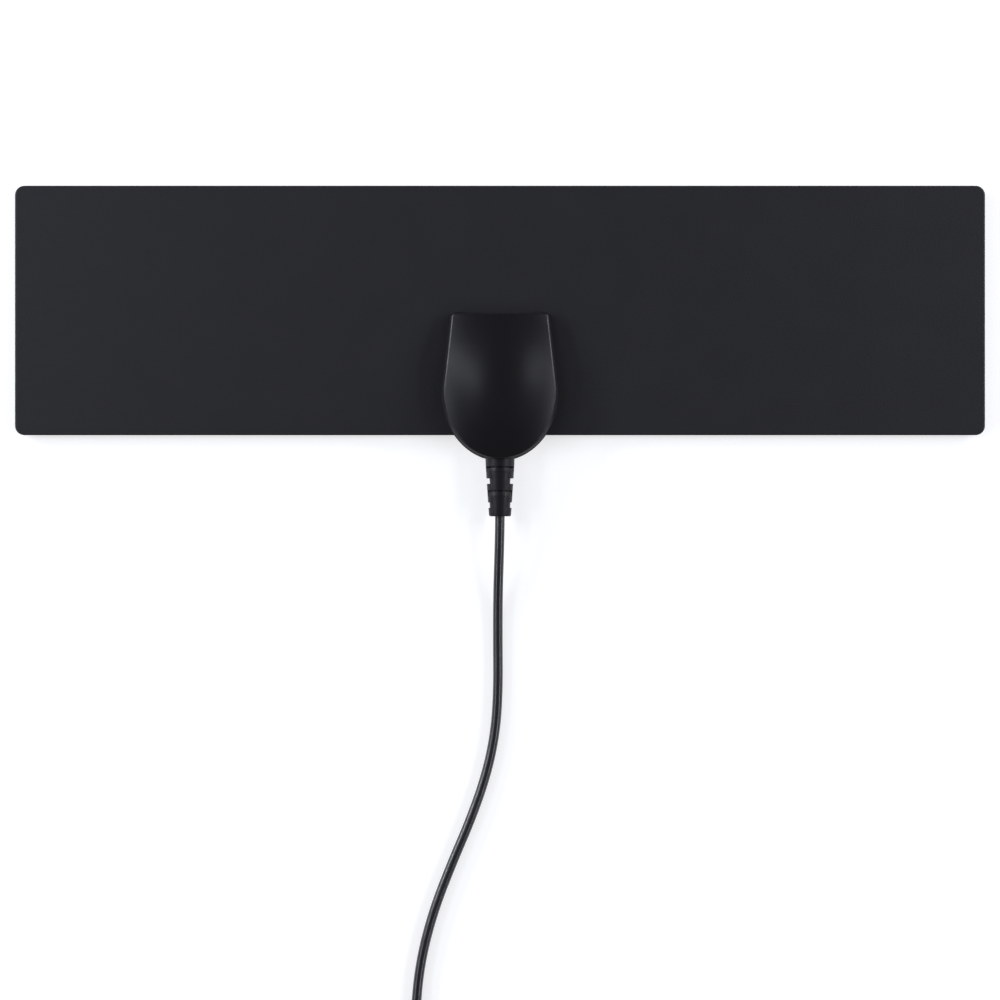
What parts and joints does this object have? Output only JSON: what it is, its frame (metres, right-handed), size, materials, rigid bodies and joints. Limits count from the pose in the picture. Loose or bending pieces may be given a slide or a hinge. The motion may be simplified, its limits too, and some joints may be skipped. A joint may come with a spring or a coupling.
{
  "type": "flat indoor tv antenna",
  "caption": "Flat indoor television aerial: thin rectangular panel with foil elements, domed feed housing on its lower edge, slotted strain relief, coaxial lead and plug.",
  "frame": {"origin": "on the surface that the aerial lies on, under the middle of the panel, housing and strain relief taken together", "axes": "+X along the panel, +Y up its face away from the lead, +Z out of its front"},
  "size_m": [0.35, 0.3528, 0.0157],
  "materials": {
    "panel_plastic": "fine matte grain",
    "housing_plastic": "satin moulded",
    "relief_pvc": "satin moulded",
    "cable_jacket": "semi-gloss extruded",
    "tie_plastic": "matte",
    "foil": "rolled foil",
    "circuit_board": "solder mask",
    "eyelet_brass": "tinned brass",
    "ferrite": "sintered",
    "copper_wire": "bare copper",
    "chip_ceramic": "ceramic",
    "screw_steel": "zinc plated",
    "tinned_braid": "tinned copper",
    "white_polyethylene": "natural polyethylene",
    "plug_nickel": "nickel plated"
  },
  "bodies": {
    "root": {"front_sheet": "panel_plastic", "back_sheet": "panel_plastic", "left_element": "foil", "right_element": "foil", "front_cover": "housing_plastic", "rear_cover": "housing_plastic", "cover_screws": "screw_steel", "matching_board": "circuit_board", "feed_eyelets": "eyelet_brass", "ferrite_core": "ferrite", "element_winding": "copper_wire", "cable_winding": "copper_wire", "chip_capacitors": "chip_ceramic", "strain_relief": "relief_pvc", "coax_lead": "cable_jacket", "coax_dielectric": "white_polyethylene", "coax_conductor": "copper_wire", "coax_braid_tail": "tinned_braid", "coax_coil": "cable_jacket", "cable_tie": "tie_plastic", "coax_tail": "cable_jacket", "plug_grip": "relief_pvc", "plug_sleeve": "plug_nickel", "plug_insulator": "white_polyethylene", "plug_pin": "plug_nickel"}
  },
  "joints": []
}
